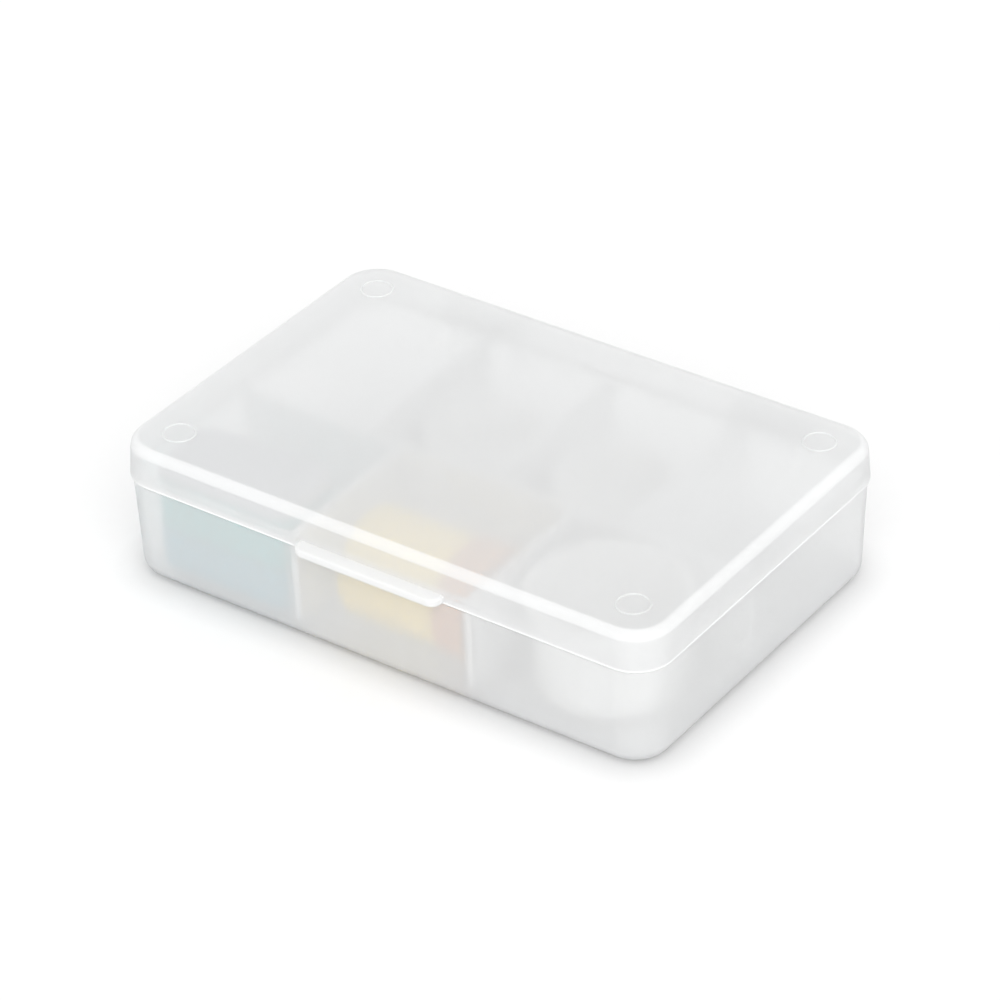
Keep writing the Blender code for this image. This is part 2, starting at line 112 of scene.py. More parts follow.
# The floor's size, how far it lies under the case, and its darker tone as a share of the paler one.
FLOOR_SIZE = 30.0
FLOOR_DROP = 0.00005
FLOOR_CLOUD = 0.99


def length(name, description, default):
    """A size in metres that a user may change."""
    return FloatProperty(
        name=name, description=description, default=default, unit="LENGTH", precision=5
    )


def share(name, description, default):
    """A value from 0 to 1."""
    return FloatProperty(
        name=name, description=description, default=default, min=0.0, max=1.0, subtype="FACTOR"
    )


def index(name, description, default):
    """A refractive index."""
    return FloatProperty(name=name, description=description, default=default, min=1.0, max=2.0)


def count(name, description, default):
    """A whole number of like things."""
    return IntProperty(name=name, description=description, default=default, min=3, subtype="UNSIGNED")


def angle(name, description, degrees):
    """An angle, given here in degrees."""
    return FloatProperty(
        name=name, description=description, default=math.radians(degrees), subtype="ANGLE"
    )


def colour(name, description, default):
    """A colour in linear red, green and blue."""
    return FloatVectorProperty(
        name=name, description=description, default=default, size=3, min=0.0, max=1.0, subtype="COLOR"
    )


class CaseSizes(bpy.types.PropertyGroup):
    """Sizes of the two mouldings, their hinge and the dividers."""

    width: length("Lid width", "Lid across X at the skirt's lower edge", LID_HIGH.x - LID_LOW.x)
    depth: length("Lid depth", "Lid along Y without tab and hooks", 0.06705)
    top: length("Case height", "Top of the lid above the table", 0.02457)
    joint: length("Joint height", "Lower edge of the skirt above the table", 0.01783)
    lid_corner: length("Lid corner", "Radius of the lid's upright corners", 0.0063)
    lid_edge: length("Lid edge", "Radius round the lid's top", 0.0015)
    lid_draft: angle("Lid draft", "Lean of the skirt", 3.3)
    lid_wall: length("Lid top wall", "Thickness of the lid's top", 0.0012)
    skirt_wall: length("Skirt wall", "Thickness of the lid's skirt", 0.0009)
    overhang: length("Overhang", "How far the skirt stands out past the tray", 0.00039)
    tray_corner: length("Tray corner", "Radius of the tray's upright corners", 0.0061)
    tray_edge: length("Tray edge", "Radius round the tray's underside", 0.0026)
    tray_draft: angle("Tray draft", "Lean of the tray's walls", 1.6)
    floor: length("Tray floor", "Thickness of the tray's floor", 0.0014)
    lip_wall: length("Lip wall", "Thickness of the lip inside the skirt", 0.0007)
    lip_overlap: length("Lip overlap", "How far the lip reaches up into the lid", 0.0011)
    gap: length("Seat gap", "Gap between pieces that rest on each other", 0.0003)
    fit: length("Fit gap", "Gap between the lip and the skirt", 0.00035)
    # The skirt is cut at this height, and the band below it is painted white as a highlight line.
    rim_highlight_line: length("Rim line", "Height of the whiter line along the skirt's lower edge", 0.00045)
    soft_edge: length("Soft edge", "Radius of the mouldings' small edges", 0.00018)
    tab_length: length("Tab length", "Thumb tab along X", 0.0270)
    tab_reach: length("Tab reach", "How far the tab stands out of the skirt", 0.0024)
    tab_thickness: length("Tab thickness", "Thickness of the thumb tab", 0.0014)
    tab_corner: length("Tab corner", "Radius of the tab's corners in plan", 0.0018)
    tab_lift: length("Tab lift", "Underside of the tab above the skirt's edge", 0.0002)
    ring_radius: length("Ring radius", "Radius of the moulding rings on the lid", 0.0026)
    ring_wire: length("Ring height", "Height of the moulding rings", 0.00022)
    ring_inset: length("Ring inset", "Rings in from the lid's edge", 0.0072)
    bar_radius: length("Bar radius", "Radius of the tray's hinge bars", 0.0012)
    hook_wall: length("Hook wall", "Thickness of the lid's hinge hooks", 0.0011)
    hook_width: length("Hook width", "Hinge hooks along X", 0.0090)
    hook_wrap: angle("Hook wrap", "How far a hook curls round its bar", 240.0)
    lug_width: length("Lug width", "Hinge lugs along X", 0.0022)
    hinge_spacing: length("Hinge spacing", "Between the middles of the two hinges", 0.0560)
    rib_width: length("Rib width", "Guide ribs along the wall", 0.0006)
    rib_depth: length("Rib depth", "How far guide ribs stand out", 0.0008)
    divider: length("Divider thickness", "Thickness of the drop-in dividers", 0.0012)


class ThingSizes(bpy.types.PropertyGroup):
    """Sizes of the loose things in the compartments."""

    pod_wall: length("Pod wall", "Thickness of the pod's cap", 0.0012)
    pod_corner: length("Pod corner", "Radius of the pod's upright corners", 0.0035)
    pod_edge: length("Pod edge", "Radius round the pod's top and underside", 0.0016)
    neck: length("Vial neck", "Radius of the neck inside the vial's cap", 0.0066)
    vial_wall: length("Vial cap wall", "Thickness of the end of the vial's cap", 0.0012)
    vial_edge: length("Vial edge", "Radius of the vial's shoulders", 0.0015)
    flutes: count("Flutes", "Grip flutes round the vial's cap", 48)
    flute_rim: length("Flute rim", "Slope at the edge of a flute", 0.00004)
    flute_depth: length("Flute depth", "How deep the flutes are", 0.00012)
    cup_wall: length("Cup wall", "Thickness of the cups' walls", 0.0011)
    cup_floor: length("Cup floor", "Thickness of the cups' floors", 0.0013)
    cup_rim: length("Cup rim", "How far the cups' rims stand out", 0.0006)
    cup_edge: length("Cup edge", "Radius round the cups' floors", 0.0012)
    cup_lean: angle("Cup lean", "Lean of the cups' walls", 5.0)


class CaseColours(bpy.types.PropertyGroup):
    """Colours and finishes of the plastics, with painted shade and painted highlights on the case's
    mouldings.
    """

    frost: colour("Frosted plastic", "Body colour of the translucent mouldings", (0.985, 0.99, 0.99))
    # Painted shade: a greyer copy of the frosted plastic on the lid's inner faces makes the lid read
    # darker.
    lid_inside_shade: colour("Lid inside", "Frosted plastic on the lid's inner faces", (0.90, 0.905, 0.91))
    # Painted shade: the tray's plastic is greyer at its floor and turns into the frosted colour two
    # tray-edge radii higher.
    tray_foot_shade: colour("Tray foot", "Frosted plastic at the tray's floor", (0.955, 0.96, 0.965))
    lid_clear: share("Lid clearness", "How much light the lid passes", 0.35)
    # Painted highlight: the lid's top rounding and tab get a less clear, so whiter, copy of the lid's
    # plastic.
    edge_highlight_clear: share("Edge clearness", "How much light the lid's edges and tab pass", 0.18)
    # Painted highlight: a whiter copy of the lid's plastic makes the moulding rings read faintly lighter
    # than the lid.
    ring_highlight_clear: share("Ring clearness", "How much light the moulding rings pass", 0.29)
    tray_clear: share("Tray clearness", "How much light the tray passes", 0.42)
    # Painted highlight: the skirt's lower rim is fully white, a bright line along its edge.
    rim_highlight_clear: share("Rim clearness", "How much light the skirt's lower rim passes", 0.0)
    divider_clear: share("Divider clearness", "How much light the dividers pass", 0.15)
    inside_clear: share("Inside clearness", "How much light the polished inner faces pass", 1.0)
    lid_blur: share("Lid blur", "Roughness that blurs what lies below the lid", 0.55)
    tray_blur: share("Tray blur", "Roughness that blurs what lies behind the tray's walls", 0.60)
    lid_bend: index("Lid bend", "How strongly the lid's rough faces bend light", 1.065)
    tray_bend: index("Tray bend", "How strongly the tray's rough faces bend light", 1.10)
    pod_body: colour("Pod body", "Lower half of the pod", (0.05, 0.33, 0.42))
    pod_cap: colour("Pod cap", "Sides of the pod's cap", (0.0, 0.40, 0.40))
    pod_top: colour("Pod top", "Top of the pod's cap", (0.46, 0.48, 0.52))
    amber: colour("Vial", "Amber of the vial", (0.93, 0.68, 0.03))
    brown: colour("Vial cap", "Brown of the vial's cap", (0.62, 0.24, 0.0))
    white: colour("Cups", "White of the cups", (0.95, 0.95, 0.94))


class CaseStage(bpy.types.PropertyGroup):
    """Floor, lamps and camera."""

    floor: colour("Floor", "Pale floor", (0.82, 0.82, 0.82))
    # The contact shadow is painted into the floor's colour.
    contact: length("Contact shadow", "How far the shadow under the case's edge reaches", 0.006)
    contact_depth: share("Contact depth", "How dark the shadow under the case's edge is", 0.40)
    lift: share("Floor lift", "What the camera sees the floor lifted by", 0.18)
    sky: share("Soft light", "Strength of the even light from all round", 0.82)
    front: FloatProperty(
        name="Front light", description="Strength of the front light", default=1.2, unit="POWER"
    )
    light_from: FloatVectorProperty(
        name="Light from",
        description="Direction that the front light comes from",
        default=(0.5, -0.6, 0.62),
        size=3,
        subtype="DIRECTION",
    )
    spread: angle("Spread", "How broad the soft front light is", 55.0)
    azimuth: angle("Azimuth", "Camera round the case from the front", 35.9844)
    elevation: angle("Elevation", "Camera above the horizon", 33.684)
    roll: angle("Roll", "Camera turned about its own axis", -1.6737)
    distance: length("Distance", "Camera from the middle of the case", 0.67052)
    side: length("Side", "Camera moved to its right", -0.00024)
    rise: length("Rise", "Camera moved upwards in its own frame", 0.0107)
    lens: FloatProperty(name="Lens", description="Focal length", default=152.617, unit="CAMERA")


class LensCase(bpy.types.PropertyGroup):
    """Everything that a user may change."""

    sizes: PointerProperty(type=CaseSizes)
    things: PointerProperty(type=ThingSizes)
    colours: PointerProperty(type=CaseColours)
    stage: PointerProperty(type=CaseStage)


def settings():
    return bpy.context.scene.lens_case


# Modelling by hand, in code.


def select_only(objects):
    """Leaves edit mode and selects these objects alone, with the first one active."""
    if bpy.context.object and bpy.context.object.mode != "OBJECT":
        bpy.ops.object.mode_set(mode="OBJECT")
    bpy.ops.object.select_all(action="DESELECT")
    for obj in objects:
        obj.select_set(True)
    if objects:
        bpy.context.view_layer.objects.active = objects[0]


def start(primitive, **values):
    """Adds a primitive as the only selected object and returns it, with its place in its mesh."""
    select_only([])
    primitive(**values)
    obj = bpy.context.object
    bpy.ops.object.transform_apply(location=True, rotation=True, scale=True)
    return obj


def block(low, high):
    """A box between two corners."""
    low, high = Vector(low), Vector(high)
    return start(
        bpy.ops.mesh.primitive_cube_add, size=1.0, location=(low + high) / 2, scale=high - low
    )


def drum(middle, radius, depth, turn=(0.0, 0.0, 0.0), sides=72):
    """A round drum, upright unless turned."""
    return start(
        bpy.ops.mesh.primitive_cylinder_add,
        vertices=sides,
        radius=radius,
        depth=depth,
        location=middle,
        rotation=turn,
    )


def edit(obj):
    """Opens one object for editing, with nothing of it selected."""
    select_only([obj])
    bpy.ops.object.mode_set(mode="EDIT")
    bpy.ops.mesh.select_all(action="DESELECT")


def done():
    bpy.ops.object.mode_set(mode="OBJECT")


def pick(kind, test):
    """Selects what passes a test: a vertex or a face by itself, an edge by its two end points."""
    bpy.ops.mesh.select_mode(type=kind)
    bpy.ops.mesh.select_all(action="DESELECT")
    mesh = bmesh.from_edit_mesh(bpy.context.object.data)
    if kind == "EDGE":
        for edge in mesh.edges:
            edge.select_set(test(edge.verts[0].co, edge.verts[1].co))
    else:
        for item in mesh.verts if kind == "VERT" else mesh.faces:
            item.select_set(test(item))
    bmesh.update_edit_mesh(bpy.context.object.data)


def near(a, b):
    return abs(a - b) < TINY


def pick_level(z):
    """Selects the edges that lie at a height."""
    pick("EDGE", lambda a, b: near(a.z, z) and near(b.z, z))


def pick_face(z):
    """Selects the flat face at a height."""
    pick("FACE", lambda face: abs(face.normal.z) > SQUARE_ON and near(face.calc_center_median().z, z))


def round_off(radius, steps):
    """Rounds the selected edges, in a number of steps."""
    bpy.ops.mesh.bevel(offset=radius, segments=steps, profile=0.5, affect="EDGES")


def move(x=0.0, y=0.0, z=0.0):
    bpy.ops.transform.translate(value=(x, y, z))


def resize(x, y, z, centre):
    bpy.ops.transform.resize(value=(x, y, z), center_override=centre)


def extrude(x=0.0, y=0.0, z=0.0):
    bpy.ops.mesh.extrude_region_move(TRANSFORM_OT_translate={"value": (x, y, z)})


def inset(thickness):
    bpy.ops.mesh.inset(thickness=thickness, use_even_offset=True)


def combine(obj, tool, operation="UNION"):
    """Joins a tool to an object, or cuts it out, and throws the tool away."""
    select_only([obj])
    modifier = obj.modifiers.new("combine", "BOOLEAN")
    modifier.operation = operation
    modifier.object = tool
    modifier.solver = "EXACT"
    bpy.ops.object.modifier_apply(modifier=modifier.name)
    bpy.data.objects.remove(tool, do_unlink=True)


def together(objects):
    """One object of several, as separate bodies."""
    select_only(objects)
    bpy.ops.object.join()
    return bpy.context.object


def check_closed(obj):
    """Stops the making of a piece whose mesh is empty or has an open edge."""
    mesh = bmesh.new()
    mesh.from_mesh(obj.data)
    whole = bool(mesh.faces) and not any(edge.is_boundary or edge.is_wire for edge in mesh.edges)
    mesh.free()
    if not whole:
        raise RuntimeError(f"{obj.name} has no closed mesh")


def hand_over(obj, name, node, material):
    """Names and shades a finished piece, and lets it stand for its CAD node."""
    select_only([obj])
    bpy.ops.object.shade_smooth_by_angle(angle=SMOOTH_ANGLE)
    modifier = obj.modifiers.new("even normals", "WEIGHTED_NORMAL")
    modifier.keep_sharp = True
    bpy.ops.object.modifier_apply(modifier=modifier.name)
    obj.name = name
    obj.data.name = name
    obj.data.materials.clear()
    obj.data.materials.append(material)
    check_closed(obj)
    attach(obj, frame["nodes"][node]["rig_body"])
    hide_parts(node)


def paint(obj, material, sizes, place):
    """Gives the faces of a finished piece that lie at a place a material of their own."""
    obj.data.materials.append(material)
    edit(obj)
    pick("FACE", lambda face: place(face, sizes))
    obj.active_material_index = len(obj.data.materials) - 1
    bpy.ops.object.material_slot_assign()
    done()


# Materials.


def node_group(name, inputs, outputs):
    """A shader node group with its sockets, its nodes, its links and its two ends."""
    tree = bpy.data.node_groups.new(name, "ShaderNodeTree")
    for title, kind, default in inputs:
        socket = tree.interface.new_socket(name=title, in_out="INPUT", socket_type=kind)
        socket.default_value = default
    for title, kind in outputs:
        tree.interface.new_socket(name=title, in_out="OUTPUT", socket_type=kind)
    nodes = tree.nodes
    return tree, nodes, tree.links, nodes.new("NodeGroupInput"), nodes.new("NodeGroupOutput")


def math_node(nodes, links, operation, first, second):
    """A Math node: each value is a number or a socket."""
    node = nodes.new("ShaderNodeMath")
    node.operation = operation
    for socket, value in zip(node.inputs, (first, second)):
        if isinstance(value, float):
            socket.default_value = value
        else:
            links.new(value, socket)
    return node.outputs["Value"]


def colour_mix(nodes, links, factor, first, second):
    """A colour between two colours, by a factor."""
    node = nodes.new("ShaderNodeMix")
    node.data_type = "RGBA"
    for name, value in (("Factor", factor), ("A", first), ("B", second)):
        if isinstance(value, (float, tuple)):
            node.inputs[name].default_value = value
        else:
            links.new(value, node.inputs[name])
    return node.outputs["Result"]


def moulded_skin():
    """Moulded plastic: a colour and a roughness in slow clouds, and the height of a fine grain."""
    found = bpy.data.node_groups.get("Moulded skin")
    if found:
        return found
    tree, nodes, links, given, result = node_group(
        "Moulded skin",
        (
            ("Colour", "NodeSocketColor", (0.8, 0.8, 0.8, 1.0)),
            ("Cloud colour", "NodeSocketColor", (0.7, 0.7, 0.7, 1.0)),
            ("Roughness", "NodeSocketFloat", 0.4),
            ("Roughness spread", "NodeSocketFloat", 0.05),
            ("Grain size", "NodeSocketFloat", 2600.0),
            ("Cloud size", "NodeSocketFloat", 60.0),
        ),
        (("Colour", "NodeSocketColor"), ("Roughness", "NodeSocketFloat"), ("Height", "NodeSocketFloat")),
    )
    place = nodes.new("ShaderNodeTexCoord")
    grain = nodes.new("ShaderNodeTexNoise")
    grain.inputs["Detail"].default_value = 3.0
    cloud = nodes.new("ShaderNodeTexNoise")
    cloud.inputs["Detail"].default_value = 2.0
    for noise, size in ((grain, "Grain size"), (cloud, "Cloud size")):
        links.new(place.outputs["Object"], noise.inputs["Vector"])
        links.new(given.outputs[size], noise.inputs["Scale"])
    clouds = nodes.new("ShaderNodeMapRange")
    clouds.inputs["From Min"].default_value = 0.3
    clouds.inputs["From Max"].default_value = 0.7
    links.new(cloud.outputs["Fac"], clouds.inputs["Value"])
    level = clouds.outputs["Result"]
    tone = colour_mix(nodes, links, level, given.outputs["Cloud colour"], given.outputs["Colour"])
    swing = math_node(nodes, links, "SUBTRACT", level, 0.5)
    swing = math_node(nodes, links, "MULTIPLY", swing, given.outputs["Roughness spread"])
    matt = math_node(nodes, links, "ADD", given.outputs["Roughness"], swing)
    links.new(tone, result.inputs["Colour"])
    links.new(matt, result.inputs["Roughness"])
    links.new(grain.outputs["Fac"], result.inputs["Height"])
    return tree


def height_tint():
    """Turns one colour into another from one height of the piece to another."""
    found = bpy.data.node_groups.get("Height tint")
    if found:
        return found
    tree, nodes, links, given, result = node_group(
        "Height tint",
        (
            ("Colour below", "NodeSocketColor", (0.5, 0.5, 0.5, 1.0)),
            ("Colour above", "NodeSocketColor", (0.8, 0.8, 0.8, 1.0)),
            ("From", "NodeSocketFloat", 0.0),
            ("To", "NodeSocketFloat", 0.01),
        ),
        (("Colour", "NodeSocketColor"),),
    )
    place = nodes.new("ShaderNodeTexCoord")
    split = nodes.new("ShaderNodeSeparateXYZ")
    rise = nodes.new("ShaderNodeMapRange")
    links.new(place.outputs["Object"], split.inputs["Vector"])
    links.new(split.outputs["Z"], rise.inputs["Value"])
    links.new(given.outputs["From"], rise.inputs["From Min"])
    links.new(given.outputs["To"], rise.inputs["From Max"])
    below, above = given.outputs["Colour below"], given.outputs["Colour above"]
    links.new(colour_mix(nodes, links, rise.outputs["Result"], below, above), result.inputs["Colour"])
    return tree


def plastic(name, base, darker, rough, rough_spread, grain, grain_size=2600.0, cloud_size=60.0):
    """A moulded plastic: two near tones in clouds, a roughness that varies, and fine grain."""
    material = bpy.data.materials.new(name)
    material.use_nodes = True
    nodes, links = material.node_tree.nodes, material.node_tree.links
    shader = nodes["Principled BSDF"]
    skin = nodes.new("ShaderNodeGroup")
    skin.node_tree = moulded_skin()
    skin.inputs["Colour"].default_value = (*base, 1.0)
    skin.inputs["Cloud colour"].default_value = (*(value * darker for value in base), 1.0)
    skin.inputs["Roughness"].default_value = rough
    skin.inputs["Roughness spread"].default_value = rough_spread
    skin.inputs["Grain size"].default_value = grain_size
    skin.inputs["Cloud size"].default_value = cloud_size
    bump = nodes.new("ShaderNodeBump")
    bump.inputs["Strength"].default_value = grain
    bump.inputs["Distance"].default_value = 0.00005
    links.new(skin.outputs["Colour"], shader.inputs["Base Color"])
    links.new(skin.outputs["Roughness"], shader.inputs["Roughness"])
    links.new(skin.outputs["Height"], bump.inputs["Height"])
    links.new(bump.outputs["Normal"], shader.inputs["Normal"])
    return material


def tint_above(material, top, z_from, z_to):
    """Lets a plastic turn into another colour from one height to another."""
    nodes, links = material.node_tree.nodes, material.node_tree.links
    shader = nodes["Principled BSDF"]
    tint = nodes.new("ShaderNodeGroup")
    tint.node_tree = height_tint()
    tint.inputs["Colour above"].default_value = (*top, 1.0)
    tint.inputs["From"].default_value = z_from
    tint.inputs["To"].default_value = z_to
    links.new(shader.inputs["Base Color"].links[0].from_socket, tint.inputs["Colour below"])
    links.new(tint.outputs["Colour"], shader.inputs["Base Color"])


def frosted(name, base, clear, blur, bend):
    """The translucent plastic of the lid, the tray and the dividers, with a satin outside."""
    material = plastic(
        name,
        base,
        darker=0.98,
        rough=blur,
        rough_spread=0.05,
        grain=0.25,
        grain_size=1800.0,
        cloud_size=45.0,
    )
    shader = material.node_tree.nodes["Principled BSDF"]
    shader.inputs["Transmission Weight"].default_value = clear
    shader.inputs["IOR"].default_value = bend
    shader.inputs["Coat Weight"].default_value = 0.3
    shader.inputs["Coat Roughness"].default_value = 0.28
    return material


# The lid.


def lid_body(sizes):
    """The lid's top and skirt as one hollow moulding."""
    half_x, half_y = sizes.width / 2, sizes.depth / 2
    lid = block((-half_x, -half_y, sizes.joint), (half_x, half_y, sizes.top))
    lean = math.tan(sizes.lid_draft)
    taper = lean * (sizes.top - sizes.joint)
    edit(lid)
    pick_face(sizes.top)
    resize(1 - taper / half_x, 1 - taper / half_y, 1.0, (0.0, 0.0, sizes.top))
    pick("EDGE", lambda a, b: not near(a.z, b.z))
    round_off(sizes.lid_corner, steps=14)
    pick_level(sizes.top)
    round_off(sizes.lid_edge, steps=7)
    under = sizes.top - sizes.lid_wall
    rise = under - sizes.joint
    pick_face(sizes.joint)
    inset(sizes.skirt_wall)
    extrude(z=rise)
    resize(1 - lean * rise / half_x, 1 - lean * rise / half_y, 1.0, (0.0, 0.0, under))
    pick_level(under)
    round_off(sizes.skirt_wall * LID_INSIDE_ROUNDING, steps=4)
    pick_level(sizes.joint)
    round_off(sizes.soft_edge, steps=3)
    bpy.ops.mesh.select_all(action="SELECT")
    bpy.ops.mesh.bisect(plane_co=(0.0, 0.0, sizes.joint + sizes.rim_highlight_line), plane_no=(0.0, 0.0, 1.0))
    done()
    return lid


def thumb_tab(sizes):
    """The tab that a thumb lifts, with round corners and soft edges."""
    low = sizes.joint + sizes.tab_lift
    high = low + sizes.tab_thickness
    half = sizes.tab_length / 2
    skirt = sizes.depth / 2 - math.tan(sizes.lid_draft) * (sizes.tab_lift + sizes.tab_thickness / 2)
    front = -skirt - sizes.tab_reach
    rear = sizes.skirt_wall / 2 - skirt
    tab = block((-half, front, low), (half, rear, high))
    edit(tab)
    pick("EDGE", lambda a, b: near(a.y, front) and near(b.y, front) and not near(a.z, b.z))
    round_off(sizes.tab_corner, steps=8)
    pick("EDGE", lambda a, b: near(a.z, b.z) and not (near(a.y, rear) and near(b.y, rear)))
    round_off(sizes.tab_thickness * TAB_ROUNDING, steps=4)
    done()
    return tab


def moulding_ring(sizes, x, y):
    """A thin round ridge on the lid's top."""
    return start(
        bpy.ops.mesh.primitive_torus_add,
        location=(x, y, LID_HIGH.z - sizes.ring_wire),
        major_radius=sizes.ring_radius,
        minor_radius=sizes.ring_wire,
        major_segments=64,
        minor_segments=12,
    )


def hinge_hook(sizes, x):
    """An arm from the skirt that curls round the hinge bar."""
    bore = sizes.bar_radius + sizes.gap
    outer = bore + sizes.hook_wall
    half = sizes.hook_width / 2
    arm_start = sizes.depth / 2 - sizes.skirt_wall / 2
    low = (x - half, arm_start, HINGE.z + bore)
    hook = block(low, (x + half, HINGE.y, HINGE.z + outer))
    edit(hook)
    pick("FACE", lambda face: face.normal.y > SQUARE_ON)
    bpy.ops.mesh.spin(
        steps=24, angle=sizes.hook_wrap, center=(x, HINGE.y, HINGE.z), axis=(1.0, 0.0, 0.0)
    )
    bpy.ops.mesh.select_all(action="SELECT")
    bpy.ops.mesh.remove_doubles(threshold=TINY)
    bpy.ops.mesh.normals_make_consistent(inside=False)
    done()
    return hook


def looks_inwards(face, sizes):
    """Whether a face of the lid or the tray looks into the shut case."""
    middle, normal = face.calc_center_median(), face.normal
    if abs(middle.y) > sizes.depth / 2:
        return False
    under_lid = normal.z < -MOSTLY and middle.z > (sizes.joint + sizes.top) / 2
    tray_floor = normal.z > MOSTLY and middle.z < sizes.floor + sizes.tray_edge
    return under_lid or tray_floor or normal.x * middle.x + normal.y * middle.y < -TINY


def on_lid_edge(face, sizes):
    """Whether a face is on the rounding of the lid's top or on the tab."""
    middle = face.calc_center_median()
    least, most = ROUNDING_NORMALS
    rounding = middle.z > sizes.top - sizes.lid_edge and least < face.normal.z < most
    return rounding or middle.y < -sizes.depth / 2


def on_ring(face, sizes):
    """Whether a face is on a moulding ring, which stands above the lid's top."""
    return face.calc_center_median().z > sizes.top + TINY


def on_lid_rim(face, sizes):
    """Whether a face is on the skirt's lower rim."""
    middle = face.calc_center_median()
    return abs(middle.y) < sizes.depth / 2 and middle.z < sizes.joint + sizes.rim_highlight_line


class LENSCASE_OT_lid(bpy.types.Operator):
    """Models the frosted lid with its tab, moulding rings and hinge hooks."""

    bl_idname = "lens_case.lid"
    bl_label = "Lid"

    def execute(self, context):
        sizes = settings().sizes
        lid = lid_body(sizes)
        combine(lid, thumb_tab(sizes))
        narrowing = math.tan(sizes.lid_draft) * (sizes.top - sizes.joint) + sizes.ring_inset
        ring_x, ring_y = sizes.width / 2 - narrowing, sizes.depth / 2 - narrowing
        for x in (-ring_x, ring_x):
            for y in (-ring_y, ring_y):
                combine(lid, moulding_ring(sizes, x, y))
        for side in (-1, 1):
            combine(lid, hinge_hook(sizes, side * sizes.hinge_spacing / 2))
        look = settings().colours
        blur, bend = look.lid_blur, look.lid_bend
        material = frosted("Frosted lid plastic", look.frost, look.lid_clear, blur, bend)
        hand_over(lid, "frosted_lid", "lid", material)
        # Painted shade on the lid's inner faces, and painted highlights on its top rounding, tab, rings
        # and lower rim.
        for finish, base, clear, place in (
            ("Shaded polished lid inside plastic", look.lid_inside_shade, look.inside_clear, looks_inwards),
            ("Lid edge highlight plastic", look.frost, look.edge_highlight_clear, on_lid_edge),
            ("Lid ring highlight plastic", look.frost, look.ring_highlight_clear, on_ring),
            ("Lid rim highlight plastic", look.frost, look.rim_highlight_clear, on_lid_rim),
        ):
            paint(lid, frosted(finish, base, clear, blur, bend), sizes, place)
        return {"FINISHED"}


# The tray.


def lip_inset(sizes):
    return sizes.skirt_wall + sizes.fit - sizes.overhang


def tray_wall(sizes):
    return lip_inset(sizes) + sizes.lip_wall


def tray_half(sizes, z, inset_by=0.0):
    """Half width and half depth of the tray at a height."""
    lean = math.tan(sizes.tray_draft) * (sizes.joint - sizes.gap - z)
    narrowing = lean + sizes.overhang + inset_by
    return sizes.width / 2 - narrowing, sizes.depth / 2 - narrowing


def tray_body(sizes):
    """The tray's shell, pulled from a block: shoulder, lip, then the hollow down to its floor."""
    shoulder = sizes.joint - sizes.gap
    lip_top = sizes.joint + sizes.lip_overlap
    low_x, low_y = tray_half(sizes, 0.0)
    high_x, high_y = tray_half(sizes, shoulder)
    tray = block((-low_x, -low_y, 0.0), (low_x, low_y, shoulder))
    edit(tray)
    pick_face(shoulder)
    resize(high_x / low_x, high_y / low_y, 1.0, (0.0, 0.0, shoulder))
    pick("EDGE", lambda a, b: not near(a.z, b.z))
    round_off(sizes.tray_corner, steps=14)
    pick_level(0.0)
    round_off(sizes.tray_edge, steps=8)
    pick_face(shoulder)
    inset(lip_inset(sizes))
    extrude(z=lip_top - shoulder)
    inset(sizes.lip_wall)
    extrude(z=sizes.floor - lip_top)
    top_x, top_y = tray_half(sizes, lip_top, tray_wall(sizes))
    foot_x, foot_y = tray_half(sizes, sizes.floor, tray_wall(sizes))
    resize(foot_x / top_x, foot_y / top_y, 1.0, (0.0, 0.0, sizes.floor))
    pick_level(sizes.floor)
    round_off(sizes.tray_edge - tray_wall(sizes), steps=5)
    pick_level(lip_top)
    round_off(sizes.soft_edge, steps=3)
    pick("EDGE", lambda a, b: all(on_outer_wall(point, sizes, shoulder) for point in (a, b)))
    round_off(sizes.soft_edge, steps=3)
    done()
    return tray


def on_outer_wall(point, sizes, z):
    """Whether a point at a height lies on the tray's outer wall, and not on the lip inside it."""
    if not near(point.z, z):
        return False
    half_x, half_y = tray_half(sizes, z)
    x = max(abs(point.x) - (half_x - sizes.tray_corner), 0.0)
    y = max(abs(point.y) - (half_y - sizes.tray_corner), 0.0)
    return math.hypot(x, y) > sizes.tray_corner - lip_inset(sizes) / 2


def guide_rib(sizes, across_x, side, along, top):
    """A guide rib on a leaning tray wall."""
    wall = tray_wall(sizes)
    upper, lower = tray_half(sizes, top, wall), tray_half(sizes, sizes.floor, wall)
    axis = 0 if across_x else 1
    near_face = side * (upper[axis] - sizes.rib_depth)
    far_face = side * (upper[axis] + SINK)
    span = (along - sizes.rib_width / 2, along + sizes.rib_width / 2)
    out = sorted((near_face, far_face))
    bottom = sizes.floor - SINK
    if across_x:
        rib = block((out[0], span[0], bottom), (out[1], span[1], top))
    else:
        rib = block((span[0], out[0], bottom), (span[1], out[1], top))
    lean = side * (lower[axis] - upper[axis])
    edit(rib)
    pick_face(bottom)
    move(x=lean if across_x else 0.0, y=0.0 if across_x else lean)
    done()
    return rib


def rib_pair(sizes, position):
    """Middles of the two ribs on either side of a divider."""
    offset = sizes.divider / 2 + sizes.gap + sizes.rib_width / 2
    return position - offset, position + offset


def node_middle(node):
    low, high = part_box(node)
    return (low + high) / 2


